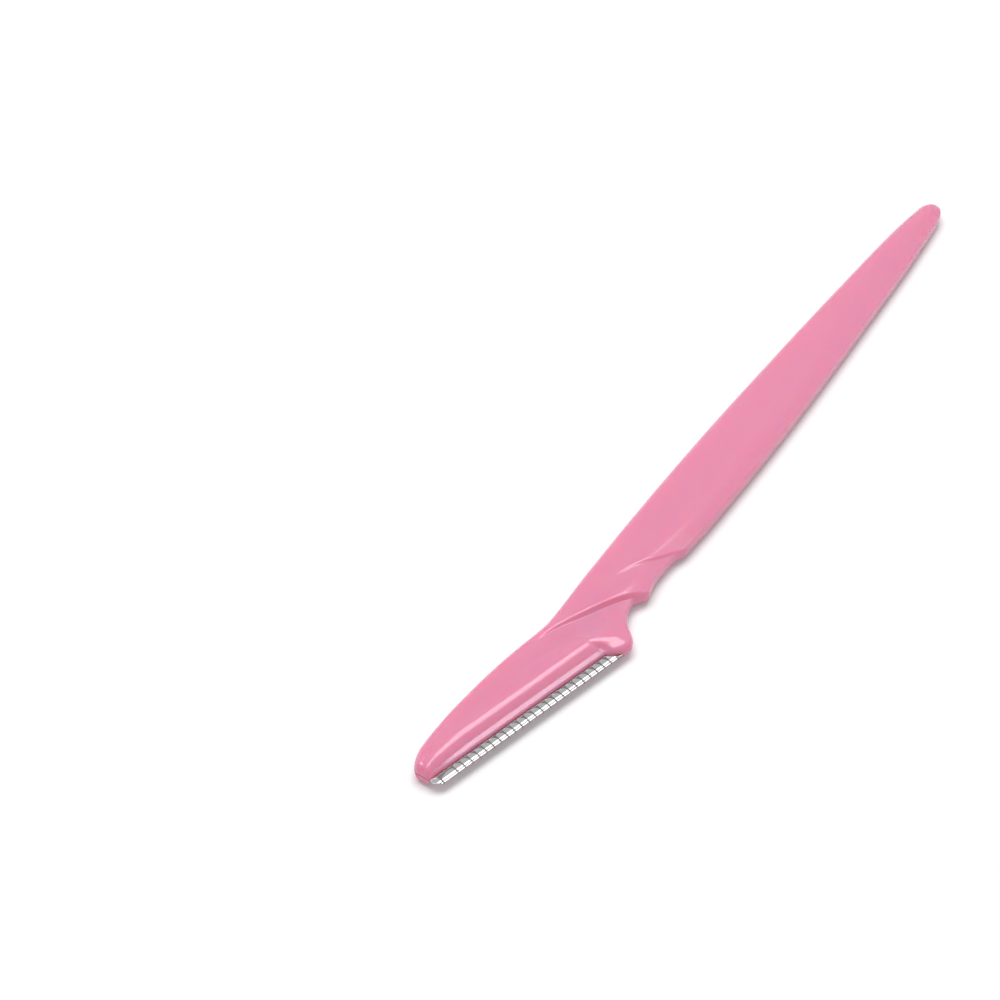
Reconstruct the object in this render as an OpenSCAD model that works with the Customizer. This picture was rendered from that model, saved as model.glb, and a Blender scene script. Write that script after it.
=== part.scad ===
// Disposable eyebrow razor, lying on its side, in millimetres.
// X runs from the tip of the head to the end of the handle, and the cutting edge faces -Y.
// The blade lies in the middle plane of the moulding, with the same relief above and below it.

/* [Moulding] */
// Length of the head, from its tip to the lowest point of the heel lobe
head_length = 37; // [32:0.5:44]
// Length of the neck, from the heel lobe to the corner of the small step
neck_length = 21.4; // [18:0.5:28]
// Length of the handle, from the corner of the small step to its end
handle_length = 96.4; // [70:0.2:120]
// Width from the highest point of the back to the lowest point of the heel lobe
body_width = 15.6; // [14:0.2:20]
// Thickness between the flat lands of the two sides
body_thickness = 3.5; // [2.8:0.1:4.6]
// Width over which the back of the handle rounds into the sides
handle_back_round_width = 1.7; // [1:0.1:2.4]
// Width over which the back of the head rounds into the sides
head_back_round_width = 1.1; // [0.6:0.1:1.6]
// Width over which the sides slope down to the edge beside the front wall
edge_slope_width = 3.1; // [2:0.1:4.4]
// Depth by which the flat land is hollow across its width
land_hollow_height = 0.03; // [0:0.01:0.1]
// Height of the front wall above the middle plane
wall_height = 1.15; // [0.9:0.05:1.4]
// How far the front wall bulges out to the parting line
wall_bulge_width = 0.15; // [0.05:0.01:0.3]
// Length over which the end of the handle rounds off
end_round_length = 3.4; // [2:0.1:6]
// Length over which the blunt tip of the head rounds off
tip_round_length = 0.8; // [0.4:0.1:1.2]

/* [Relief] */
// Depth of the large crescent step at its deepest
large_step_depth = 0.9; // [0.3:0.05:1]
// Depth of the small crescent step at its deepest
small_step_depth = 0.3; // [0.1:0.05:0.5]
// Width over which the surface rises again in front of the small step
small_step_run_width = 4.5; // [3:0.5:8]
// Width of the flat band beside the blade
band_width = 0.85; // [0.4:0.05:1.1]
// Height of the lip beside the blade, above the middle plane
lip_height = 0.7; // [0.5:0.05:0.9]
// Rise of the flat band from the lip inwards
band_rise_height = 0.2; // [0.05:0.01:0.3]
// Distance of the ridge from the lip
ridge_gap = 2.8; // [2:0.1:3.4]
// Width of the heel lobe's round front
lobe_round_width = 1.3; // [0.8:0.1:1.8]

/* [Blade] */
// Lean of the cutting edge against the length of the razor, in degrees
blade_lean = 12.1; // [8:0.1:14]
// How far the cutting edge stands out of the lip
edge_reach_width = 1.65; // [1.3:0.05:2]
// Thickness of the steel strip
blade_thickness = 0.2; // [0.15:0.01:0.3]
// Width of the steel strip, from the cutting edge to its back
blade_width = 4.8; // [4.6:0.1:5.2]
// Width of the ground bevel
bevel_width = 0.65; // [0.5:0.05:1]
// Width of the finer bevel along the cutting edge
fine_bevel_width = 0.3; // [0.1:0.05:0.4]
// Half the thickness of the strip where the two bevels meet
fine_bevel_height = 0.06; // [0.05:0.01:0.07]
// Size of the clipped corners
corner_clip_width = 1.05; // [0.5:0.05:1.4]
// Diameter of the lock holes
lock_hole_diameter = 1.5; // [1:0.1:1.6]
// Number of lock holes
lock_holes = 3; // [2:1:5]
// Distance of the lock holes from the cutting edge
lock_hole_distance = 3.2; // [3:0.05:3.4]
// Plastic in front of the blade's end, at the tip
tip_cover_length = 0.15; // [0.1:0.05:0.5]
// Length of the blade's heel inside the lobe
heel_cover_length = 3; // [2:0.1:3.4]

/* [Guard] */
// Thickness of the folded foil
foil_thickness = 0.05; // [0.04:0.01:0.1]
// Width of each leg of the foil, from the cutting edge
foil_width = 4.4; // [4.3:0.05:4.6]
// Distance from one finger to the next
finger_pitch = 1.37; // [1:0.01:2]
// Width of a finger
finger_width = 0.17; // [0.1:0.01:0.3]
// Bare length of blade before the first finger
bare_length = 1.15; // [1.1:0.05:2]
// Height of the small windows above the cutting edge
window_height = 1.5; // [1.2:0.05:1.8]
// Fall of a small window's arch, from its top to its low side
window_fall_height = 0.55; // [0.3:0.05:0.7]
// Height of the long first window above the cutting edge
long_window_height = 1.3; // [1:0.05:1.5]
// Fall of the long first window's arch
long_window_fall_height = 0.75; // [0.4:0.05:0.9]
// Clearance between the steel, the foil and the plastic
seat_gap = 0.01; // [0:0.005:0.03]

/* [Hidden] */
// Overrun of the cuts
cut = 1;
// Points nearer than this count as one
same_place = 0.000001;
// Length over which the surface at the foot of the large step runs into the edge
run_in_width = 0.5;
overall_length = head_length + neck_length + handle_length;
half_thickness = body_thickness / 2;

// A station is a place along the razor: 0 the tip, 1 the heel lobe, 2 the small step, 3 the end.
function place(station) =
    station < 1 ? station * head_length :
    station < 2 ? head_length + (station - 1) * neck_length :
    head_length + neck_length + (station - 2) * handle_length;
function placed(table, size) = [for (row = table) [place(row[0]), row[1] * size]];

function mix(a, b, share) = a + (b - a) * share;
function held(share) = min(1, max(0, share));
function eased(share) = held(share) ^ 2 * (3 - 2 * held(share));

// A smooth curve through the rows of a table, which never swings past a row
function rise(table, i) = (table[i + 1][1] - table[i][1]) / (table[i + 1][0] - table[i][0]);
function tangent(table, i) =
    i == 0 ? rise(table, 0) :
    i == len(table) - 1 ? rise(table, i - 1) :
    rise(table, i - 1) * rise(table, i) <= 0 ? 0 :
    2 * rise(table, i - 1) * rise(table, i) / (rise(table, i - 1) + rise(table, i));
function row_before(table, x, i = 0) =
    i >= len(table) - 2 || x < table[i + 1][0] ? i : row_before(table, x, i + 1);
function along(table, x) =
    let (i = row_before(table, x), run = table[i + 1][0] - table[i][0])
    let (t = held((x - table[i][0]) / run))
    (1 + 2 * t) * (1 - t) ^ 2 * table[i][1]
    + t * (1 - t) ^ 2 * run * tangent(table, i)
    + t ^ 2 * (3 - 2 * t) * table[i + 1][1]
    - t ^ 2 * (1 - t) * run * tangent(table, i + 1);

// Stations of the features
heel_share = 0.9133;
large_start_share = 0.805;
large_notch_share = 1.378;
large_corner_share = 1.49;
small_start_share = 1.435;
small_notch_share = 1.925;
widest_share = 2.6;
// The flat land narrows from here to a point at its far end, ahead of the thinner end of the handle
narrowing_share = 2.4;
land_end_share = 2.86;
// Length of the step up to the lobe, in shares of the way to the lobe's lowest point
lobe_step_share = 0.4;

// Outline in plan: the place of the back and of the front wall at each station, down from the
// highest point of the back, in shares of the width
back_shares = [
    [0, 0.228], [0.008, 0.206], [0.024, 0.174], [0.054, 0.136], [0.105, 0.103], [0.2, 0.083],
    [0.31, 0.074], [0.47, 0.083], [0.61, 0.103], [0.745, 0.138], [0.85, 0.173], [0.915, 0.187],
    [1, 0.178], [1.22, 0.152], [1.5, 0.124], [2, 0.08], [2.2, 0.03], [2.35, 0.01],
    [widest_share, 0], [2.8, 0.006], [2.9, 0.02], [2.955, 0.042], [3, 0.064]];
front_shares = [
    [0.93, 0.896], [0.949, 0.945], [0.97, 0.982], [1, 1], [1.056, 0.974], [1.103, 0.917],
    [1.14, 0.859], [1.178, 0.808], [1.23, 0.76], [1.3, 0.718], [large_notch_share, 0.7],
    [1.388, 0.704], [1.481, 0.762], [large_corner_share, 0.766], [1.54, 0.75], [1.636, 0.72],
    [1.73, 0.706], [1.846, 0.706], [small_notch_share, 0.717], [1.935, 0.721], [1.991, 0.747],
    [2, 0.75], [2.05, 0.751], [2.2, 0.725], [2.355, 0.676], [2.51, 0.605], [2.665, 0.523],
    [2.82, 0.438], [2.9, 0.382], [2.955, 0.338], [3, 0.29]];

// Crests of the two crescent steps in plan, in shares of the width
large_crest_shares = [
    [large_start_share, 0.256], [0.873, 0.276], [0.954, 0.333], [1.014, 0.385], [1.107, 0.436],
    [1.2, 0.494], [1.294, 0.564], [1.388, 0.647], [1.449, 0.701], [large_corner_share, 0.765]];
small_crest_shares = [
    [small_start_share, 0.404], [1.528, 0.429], [1.621, 0.468], [1.715, 0.532], [1.808, 0.609],
    [1.9, 0.673], [1.958, 0.712], [2, 0.744]];
// Width of each step's slope in plan, in shares of its greatest depth
large_slope_shares = [
    [large_start_share, 0], [0.9, 0.4], [1, 0.65], [1.2, 0.65], [large_notch_share, 0.6]];
small_slope_shares = [[small_start_share, 0], [1.6, 0.7], [1.8, 0.8], [2, 0.7]];
// Depth of each step, in shares of its greatest depth
large_depth_shares = [
    [large_start_share, 0], [0.9, 0.3], [1, 0.65], [1.1, 0.8], [1.2, 0.88], [large_notch_share, 1]];
small_depth_shares = [
    [small_start_share, 0], [1.55, 0.45], [1.7, 0.85], [1.85, 1], [small_notch_share, 0.9], [2, 0]];

// Heights above the middle plane, in shares of half the thickness. The flat land of the handle is hollow
// by a hair, along its length and across it, so the razor rests on the two corners at the land's front and
// on the point at its far end. The level is the lowest of the three curves.
level_shares = [
    [0, 0.86], [0.05, 0.82], [0.2, 0.8], [0.5, 0.8], [large_start_share, 0.8], [0.9, 0.83], [1, 0.88],
    [1.2, 0.9], [large_notch_share, 1]];
land_level_shares = [[large_notch_share, 1], [1.9, 0.985], [2.41, 0.985], [land_end_share, 1]];
end_level_shares = [[land_end_share, 1], [3, 0.78]];
valley_shares = [
    [0, 0.88], [0.1, 0.84], [0.3, 0.84], [0.6, 0.8], [0.8, 0.72], [0.9, 0.66], [1, 0.6],
    [1.1, 0.54], [1.3, 0.5]];
ridge_shares = [
    [0, 0.9], [0.1, 0.94], [0.3, 0.97], [0.8, 0.97], [0.93, 0.94], [1, 0.86], [1.1, 0.64],
    [1.2, 0.53], [1.3, 0.5]];
// Height of the top of the front wall, in shares of its height on the handle
arris_shares = [
    [heel_share, 0.72], [0.95, 1], [1, 1.14], [1.06, 1.06], [1.14, 0.84], [1.2, 0.76], [1.3, 0.7],
    [large_notch_share, 0.68], [large_corner_share, 0.96], [2, 1], [widest_share, 1], [3, 0.8]];
// How round the front is, in shares of the heel lobe's round
front_round_shares = [
    [0.9, 0], [0.95, 0.8], [1, 1], [1.06, 0.95], [1.14, 0.6], [1.24, 0.3],
    [large_notch_share, 0.12], [large_corner_share, 0]];
// Place of the faint valley beside the ridge, from the ridge to the back's shoulder
valley_line_shares = [
    [0, 0.5], [0.3, 0.8], [0.47, 0.86], [0.61, 0.76], [0.745, 0.62], [0.88, 0.42], [0.96, 0.34],
    [1.05, 0.26], [1.15, 0.4], [1.3, 0.5]];

back_table = placed(back_shares, body_width);
level_table = placed(level_shares, half_thickness);
land_level_table = placed(land_level_shares, half_thickness);
end_level_table = placed(end_level_shares, half_thickness);
valley_table = placed(valley_shares, half_thickness);
ridge_table = placed(ridge_shares, half_thickness);
arris_table = placed(arris_shares, wall_height);
front_round_table = placed(front_round_shares, 1);
valley_line_table = placed(valley_line_shares, 1);
large_crest_table = placed(large_crest_shares, body_width);
small_crest_table = placed(small_crest_shares, body_width);
large_slope_table = placed(large_slope_shares, large_step_depth);
small_slope_table = placed(small_slope_shares, small_step_depth);
large_depth_table = placed(large_depth_shares, large_step_depth);
small_depth_table = placed(small_depth_shares, small_step_depth);
heel_x = place(heel_share);
large_start_x = place(large_start_share);
large_corner_x = place(large_corner_share);
small_start_x = place(small_start_share);
small_corner_x = place(2);
narrowing_x = place(narrowing_share);
land_end_x = place(land_end_share);

// The cutting edge, and the lip of the plastic that runs along it
edge_share = 0.485;
edge_start = [tip_cover_length - edge_reach_width * sin(blade_lean), body_width * (0.5 - edge_share)];
blade_length = (heel_x + heel_cover_length) / cos(blade_lean);
function lip_y(x) =
    edge_start[1] - (x - edge_start[0]) * tan(blade_lean) + edge_reach_width / cos(blade_lean);
front_table = concat(
    [[heel_x, body_width / 2 - lip_y(heel_x)]], placed(front_shares, body_width));

// Rounding of the two ends, as shares of the full section: the tip is blunter than a circle
tip_blunt_share = 0.1;
tip_roundness = 4;
end_blunt_share = 0.01;
end_roundness = 2;
function nose(share, blunt_share, roundness) =
    (1 - ((1 - blunt_share) * (1 - held(share))) ^ roundness) ^ (1 / roundness);
function tip_nose(x) = nose(x / tip_round_length, tip_blunt_share, tip_roundness);
function end_nose(x) = nose((overall_length - x) / end_round_length, end_blunt_share, end_roundness);

// Lines that run the whole length in plan: the back, its shoulder, the front and its arris
function back_line(x) = body_width / 2 - along(back_table, x);
function front_line(x) = x < heel_x ? lip_y(x) : body_width / 2 - along(front_table, x);
function middle_line(x) = (back_line(x) + front_line(x)) / 2;
function back_y(x) = mix(middle_line(x), back_line(x), end_nose(x));
function front_y(x) = mix(middle_line(x), front_line(x), end_nose(x));
function front_inset(x) = end_nose(x) * mix(wall_bulge_width, lobe_round_width, along(front_round_table, x));
function arris_y(x) = front_y(x) + front_inset(x);
function back_round(x) =
    mix(head_back_round_width, handle_back_round_width, eased((x - head_length) / neck_length));
// No part of a section may take more than its share of a narrow section
widest_round_share = 0.4;
widest_gap_share = 0.3;
widest_slope_share = 0.7;
widest_ridge_share = 0.6;
widest_valley_share = 0.7;
function shoulder_y(x) =
    back_y(x) - min(back_round(x), (back_y(x) - arris_y(x)) * widest_round_share);

// Crests and feet of the two steps in plan. Each runs out into the arris at its lower end. Ahead of
// its start the large crest keeps its distance from the shoulder, and the small one its share of
// the width between the shoulder and the large crest.
function large_crest_y(x) =
    x >= large_corner_x ? arris_y(x) :
    x > large_start_x ? max(arris_y(x), body_width / 2 - along(large_crest_table, x)) :
    shoulder_y(x) - min(large_start_gap, (shoulder_y(x) - arris_y(x)) * widest_gap_share);
large_start_gap = shoulder_y(large_start_x) - body_width / 2 + along(large_crest_table, large_start_x);
function large_foot_y(x) =
    x > large_start_x ? max(arris_y(x), large_crest_y(x) - along(large_slope_table, x)) :
    large_crest_y(x);
function small_crest_y(x) =
    x >= small_corner_x ? arris_y(x) :
    x > small_start_x ? max(arris_y(x), body_width / 2 - along(small_crest_table, x)) :
    mix(shoulder_y(x), large_crest_y(x), small_start_part);
small_start_part =
    (shoulder_y(small_start_x) - body_width / 2 + along(small_crest_table, small_start_x))
    / (shoulder_y(small_start_x) - large_crest_y(small_start_x));
function small_foot_y(x) =
    x > small_start_x ? max(arris_y(x), small_crest_y(x) - along(small_slope_table, x)) :
    small_crest_y(x);

// The plain side: a hollow land behind, then rounding into an even slope down to the edge in front of it
function level_at(x) = min(along(level_table, x), along(land_level_table, x), along(end_level_table, x));
function edge_y(x) = arris_y(max(x, large_corner_x));
function flat_width(x) =
    let (side = shoulder_y(x) - edge_y(x))
    let (narrowed = eased((x - narrowing_x) / (land_end_x - narrowing_x)))
    (side - min(edge_slope_width, side * widest_slope_share)) * (1 - narrowed);
function hollow_at(x, y) =
    let (part = held((shoulder_y(x) - y) / max(flat_width(x), same_place)))
    land_hollow_height * 4 * part * (1 - part);
function slope_part(x, y) = 1 - held((y - edge_y(x)) / (shoulder_y(x) - edge_y(x) - flat_width(x)));
slope_round_share = 0.5;
function slope_fall(part) =
    (part < slope_round_share ? part ^ 2 / 2 / slope_round_share : part - slope_round_share / 2)
    / (1 - slope_round_share / 2);
function plain_height(x, y) =
    let (level = level_at(x), edge = along(arris_table, max(x, large_corner_x)))
    level - (level - edge) * slope_fall(slope_part(x, y)) - hollow_at(x, y);
// Height in front of the small step
function scale_height(x, y) =
    plain_height(x, y) - (x < small_start_x || x > small_corner_x ? 0 :
    along(small_depth_table, x) * (1 - eased((small_foot_y(x) - y) / small_step_run_width)));
function off_head(x) = eased((x - heel_x) / (head_length - heel_x) / lobe_step_share);
function arris_height(x) =
    x < large_corner_x ? mix(lip_height, along(arris_table, x), off_head(x)) :
    scale_height(x, arris_y(x));

// Points of one side of a section, from the back's parting line to the front's, as [y, height].
// The two inner points of the land lie at one depth in its hollow, so the strip between them is flat.
back_parts = 4;
land_parts = [0.3, 0.7, 1];
plain_parts = [0.25, 0.5, 0.75];
scale_parts = [0.35, 0.65, 0.85];
ridge_parts = 3;
slope_parts = 4;
front_parts = 3;

function back_points(x) =
    [for (i = [0 : back_parts]) let (a = i * 90 / back_parts)
        [mix(shoulder_y(x), back_y(x), cos(a)), level_at(x) * sin(a)]];
function plain_points(x) =
    let (from = shoulder_y(x), to = small_crest_y(x), bend = max(to, from - flat_width(x)))
    concat([for (part = land_parts) let (y = mix(from, bend, part)) [y, plain_height(x, y)]],
        [for (part = plain_parts) let (y = mix(bend, to, part)) [y, plain_height(x, y)]],
        [[to, plain_height(x, to)]]);
function scale_points(x) =
    let (from = small_foot_y(x), to = large_crest_y(x))
    concat([[from, scale_height(x, from)]],
        [for (part = scale_parts) [mix(from, to, part), scale_height(x, mix(from, to, part))]],
        [[to, scale_height(x, to)]]);
function head_points(x) =
    let (arris = arris_y(x), foot = large_foot_y(x), edge = arris_height(x))
    let (joined = held((foot - arris) / run_in_width))
    let (drop = x > large_start_x ? along(large_depth_table, x) : 0)
    let (foot_height = mix(edge, level_at(x) - hollow_at(x, foot) - drop, joined))
    let (valley_height = mix(edge, along(valley_table, x), joined))
    let (ridge_height = mix(edge, along(ridge_table, x), joined))
    let (ridge = arris + min(ridge_gap, (foot - arris) * widest_ridge_share))
    let (valley_limit = mix(ridge, foot, widest_valley_share))
    let (valley = min(mix(ridge, shoulder_y(x), along(valley_line_table, x)), valley_limit))
    let (band = mix(arris, ridge, band_width / ridge_gap))
    let (band_height = min(mix(edge, ridge_height, band_width / ridge_gap), edge + band_rise_height))
    concat(
        [[foot, foot_height], [mix(foot, valley, 0.5), mix(foot_height, valley_height, 0.5)]],
        [for (i = [0 : ridge_parts - 1]) let (part = i / ridge_parts)
            [mix(valley, ridge, part), mix(valley_height, ridge_height, eased(part))]],
        [for (i = [0 : slope_parts - 1]) let (part = i / slope_parts)
            [mix(ridge, band, part), mix(ridge_height, band_height, part ^ 2)]],
        [[band, band_height], [arris, edge]]);
function front_points(x) =
    [for (i = [1 : front_parts]) let (part = i / front_parts)
        [arris_y(x) - front_inset(x) * sin(part * 90), arris_height(x) * cos(part * 90)]];
function side_points(x) =
    let (points = concat(back_points(x), plain_points(x), scale_points(x), head_points(x), front_points(x)))
    [for (p = points) [p[0], p[1] * tip_nose(x) * end_nose(x)]];

// Stations of the sections, as spans of [from, to, number of sections]
station_spans = [
    [0.03, 0.11, 4], [0.11, large_start_share, 12], [large_start_share, heel_share, 6],
    [heel_share, 1, 10], [1, 1.23, 14], [1.23, large_notch_share, 8],
    [large_notch_share, large_corner_share, 6], [large_corner_share, small_notch_share, 14],
    [small_notch_share, 2, 4], [2, 2.1, 6], [2.1, land_end_share, 8], [land_end_share, 2.96, 4]];
tip_parts = 5;
end_parts = 8;
section_places = concat(
    [for (i = [0 : tip_parts]) tip_round_length * (i / tip_parts) ^ 2],
    [for (span = station_spans) for (i = [0 : span[2] - 1]) place(mix(span[0], span[1], i / span[2]))],
    [for (i = [0 : end_parts]) overall_length - end_round_length * (1 - sin(i * 90 / end_parts))]);

// A closed skin over the sections, above and below the middle plane
module moulding_skin() {
    rings = [for (x = section_places) let (side = side_points(x)) concat(
        [for (p = side) [x, p[0], half_thickness + p[1]]],
        [for (i = [len(side) - 2 : -1 : 1]) [x, side[i][0], half_thickness - side[i][1]]])];
    points = [for (ring = rings) each ring];
    ring_size = len(rings[0]);
    last = len(rings) - 1;
    walls = [for (k = [0 : last - 1]) for (i = [0 : ring_size - 1])
        let (a = k * ring_size + i, b = k * ring_size + (i + 1) % ring_size)
        let (c = b + ring_size, d = a + ring_size)
        each [[a, d, c], [a, c, b]]];
    caps = [for (k = [0, last]) for (i = [0 : ring_size / 2 - 1])
        let (base = k * ring_size, a = base + i, b = base + i + 1)
        let (c = base + ring_size - i - 1, d = base + (ring_size - i) % ring_size)
        each (k == 0 ? [[a, b, c], [a, c, d]] : [[c, b, a], [d, c, a]])];
    polyhedron(points, [for (face = concat(walls, caps)) if (spread(points, face)) face], convexity = 6);
}
function spread(points, face) =
    norm(points[face[0]] - points[face[1]]) > same_place
    && norm(points[face[1]] - points[face[2]]) > same_place
    && norm(points[face[2]] - points[face[0]]) > same_place;

// The blade's own frame: X along the cutting edge, Y from the edge to the back of the strip
module on_razor() {
    translate([-overall_length / 2, 0, 0])
        children();
}
module on_blade() {
    on_razor()
        translate([edge_start[0], edge_start[1], half_thickness])
            rotate([0, 0, -blade_lean])
                children();
}

guard_end = blade_length - corner_clip_width;
fold_inner = blade_thickness / 2 + seat_gap;
fold_outer = fold_inner + foil_thickness;
fold_centre = blade_thickness / 2;
lock_hole_pitch = blade_length / lock_holes;

module blade_plan(grow) {
    polygon([
        [corner_clip_width + cut, -cut], [-grow, corner_clip_width - grow],
        [-grow, blade_width - corner_clip_width + grow], [corner_clip_width - grow, blade_width + grow],
        [blade_length - corner_clip_width + grow, blade_width + grow],
        [blade_length + grow, blade_width - corner_clip_width + grow],
        [blade_length + grow, corner_clip_width - grow],
        [blade_length - corner_clip_width - cut, -cut]]);
}
module lock_cylinders(diameter, height) {
    for (i = [0 : lock_holes - 1])
        translate([(i + 0.5) * lock_hole_pitch, lock_hole_distance, 0])
            cylinder(d = diameter, h = height, center = true, $fn = 48);
}
// A bar along the cutting edge with the given section
module along_edge(start, length) {
    translate([start, 0, 0])
        rotate([90, 0, 90])
            linear_extrude(height = length)
                children();
}
module fold_outline(radius, width) {
    translate([fold_centre, 0])
        circle(r = radius, $fn = 48);
    translate([fold_centre, -radius])
        square([width - fold_centre, 2 * radius]);
}

// Room in the moulding for the blade and the guard, less the plastic in the lock holes
module pocket() {
    difference() {
        union() {
            linear_extrude(height = 2 * fold_inner, center = true)
                intersection() {
                    blade_plan(seat_gap);
                    translate([-cut, -seat_gap])
                        square([blade_length + 2 * cut, blade_width + 2 * seat_gap]);
                }
            along_edge(bare_length - seat_gap, guard_end - bare_length + 2 * seat_gap)
                fold_outline(fold_outer + seat_gap, foil_width + seat_gap);
        }
        lock_cylinders(lock_hole_diameter - 2 * seat_gap, body_thickness);
    }
}

module handle() {
    color([0.93, 0.6, 0.71])
        difference() {
            on_razor()
                moulding_skin();
            on_blade()
                pocket();
        }
}

module blade() {
    color([0.8, 0.81, 0.82])
        on_blade()
            difference() {
                intersection() {
                    along_edge(0, blade_length)
                        polygon([
                            [0, 0], [fine_bevel_width, fine_bevel_height], [bevel_width, blade_thickness / 2],
                            [blade_width, blade_thickness / 2], [blade_width, -blade_thickness / 2],
                            [bevel_width, -blade_thickness / 2], [fine_bevel_width, -fine_bevel_height]]);
                    linear_extrude(height = body_thickness, center = true)
                        blade_plan(0);
                }
                lock_cylinders(lock_hole_diameter, body_thickness);
            }
}

// Place of each arch's top along its window, in shares of the width
window_top_share = 0.36;
long_window_top_share = 0.7;
// A window's outline, from below the fold up to its lopsided arch
module window_outline(width, height, top_share, fall) {
    long_side = max(top_share, 1 - top_share) * width;
    radius = (long_side ^ 2 + fall ^ 2) / (2 * fall);
    translate([0, -cut])
        square([width, height - fall + cut]);
    intersection() {
        translate([top_share * width, height - radius])
            circle(r = radius, $fn = 96);
        translate([0, height - fall])
            square([width, fall]);
    }
}

module guard() {
    long_window = 2 * finger_pitch - finger_width;
    small_window = finger_pitch - finger_width;
    first_small = bare_length + 2 * finger_pitch;
    small_windows = floor((guard_end - first_small - finger_width) / finger_pitch);
    color([0.6, 0.6, 0.61])
        on_blade()
            difference() {
                along_edge(bare_length, guard_end - bare_length)
                    difference() {
                        fold_outline(fold_outer, foil_width);
                        fold_outline(fold_inner, foil_width + cut);
                    }
                linear_extrude(height = body_thickness, center = true) {
                    translate([bare_length + finger_width, 0])
                        window_outline(
                            long_window, long_window_height, long_window_top_share, long_window_fall_height);
                    for (i = [0 : small_windows - 1])
                        translate([first_small + i * finger_pitch + finger_width, 0])
                            window_outline(small_window, window_height, window_top_share, window_fall_height);
                }
                lock_cylinders(lock_hole_diameter, body_thickness);
            }
}

handle();
blade();
guard();
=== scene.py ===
import bpy
import numpy as np
from mathutils import Matrix, Vector


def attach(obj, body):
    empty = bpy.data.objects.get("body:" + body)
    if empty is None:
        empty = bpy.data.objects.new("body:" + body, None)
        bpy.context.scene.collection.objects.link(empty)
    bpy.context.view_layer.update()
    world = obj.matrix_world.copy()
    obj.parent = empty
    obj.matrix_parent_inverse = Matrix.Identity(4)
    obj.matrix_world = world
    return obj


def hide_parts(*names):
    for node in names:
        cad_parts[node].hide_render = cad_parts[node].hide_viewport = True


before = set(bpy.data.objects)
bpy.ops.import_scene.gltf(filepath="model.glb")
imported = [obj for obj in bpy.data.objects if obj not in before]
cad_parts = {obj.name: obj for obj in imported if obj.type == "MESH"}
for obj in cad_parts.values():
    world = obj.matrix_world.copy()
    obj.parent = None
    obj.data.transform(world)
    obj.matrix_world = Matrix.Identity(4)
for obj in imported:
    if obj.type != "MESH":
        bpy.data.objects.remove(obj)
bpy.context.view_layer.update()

MM = 0.001

# Sizes of the moulding in millimetres, as in the construction
HEAD_LENGTH = 37.0
NECK_LENGTH = 21.4
HANDLE_LENGTH = 96.4
OVERALL_LENGTH = HEAD_LENGTH + NECK_LENGTH + HANDLE_LENGTH
BODY_WIDTH = 15.6
HALF_THICKNESS = 1.75
HANDLE_BACK_ROUND = 1.7
HEAD_BACK_ROUND = 1.1
EDGE_SLOPE_WIDTH = 3.1
LAND_HOLLOW = 0.03
WALL_HEIGHT = 1.15
WALL_BULGE = 0.15
END_ROUND_LENGTH = 3.4
TIP_ROUND_LENGTH = 0.8
LARGE_STEP_DEPTH = 0.9
SMALL_STEP_DEPTH = 0.3
SMALL_STEP_RUN = 4.5
BAND_WIDTH = 0.85
LIP_HEIGHT = 0.7
BAND_RISE = 0.2
RIDGE_GAP = 2.8
LOBE_ROUND = 1.3
BLADE_LEAN = np.radians(12.1)
EDGE_REACH = 1.65
TIP_COVER = 0.15
RUN_IN_WIDTH = 0.5
# No part of a section may take more than its share of a narrow section
WIDEST_ROUND_SHARE = 0.4
WIDEST_GAP_SHARE = 0.3
WIDEST_SLOPE_SHARE = 0.7
WIDEST_RIDGE_SHARE = 0.6
WIDEST_VALLEY_SHARE = 0.7
# Share of the side's slope that is its rounding
SLOPE_ROUND_SHARE = 0.5
# Start of the cutting edge in plan, down from the highest point of the back, in shares of the width
EDGE_SHARE = 0.485

# Rounding of an end, as its length, bluntness and roundness: the tip above and below the parting line,
# and the end of the handle
TIP_ABOVE = (1.8, 0.03, 2.3)
TIP_BELOW = (TIP_ROUND_LENGTH, 0.1, 4)
HANDLE_END = (END_ROUND_LENGTH, 0.01, 2)
# The face of the tip: its lean over half the thickness, and the length over which that fades out, the
# step and the groove at the parting line, and half the height of the groove
TIP_DRAFT = 0.15
TIP_DRAFT_LENGTH = 1.4 * TIP_ROUND_LENGTH
TIP_STEP = 0.12
TIP_GROOVE = 0.14
HALF_GROOVE = 0.02

# Half the height of the painted shade line along the parting line, and how far it reaches from the tip
HALF_SHADE_LINE = 0.07
SHADE_LINE_REACH = 0.7
# Distances from the cutting edge on the blade: where its painted dark reflection ends, where the
# painted shade line between the two facets lies, and where the bevel ends
EDGE_REFLECTION_REACH = 0.06
FACET_SHADE_BAND = (0.25, 0.36)
BEVEL_WIDTH = 0.65
# How far outside the piece a coloured band starts
OUTSIDE = 1

# Stations: 0 the tip, 1 the lowest point of the heel lobe, 2 the corner of the small step, 3 the end
HEEL = 0.9133
LARGE_START = 0.805
LARGE_NOTCH = 1.378
LARGE_CORNER = 1.49
SMALL_START = 1.435
SMALL_NOTCH = 1.925
WIDEST = 2.6
# The flat land narrows from one station to a point at the other
NARROWING = 2.4
LAND_END = 2.86
# The edge that the sides slope down to runs straight past the notch of the small step, between these
NOTCH_START = 1.74
NOTCH_END = 2.04
# Length of the step up to the lobe, in shares of the way to the lobe's lowest point
LOBE_STEP_SHARE = 0.4

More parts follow.
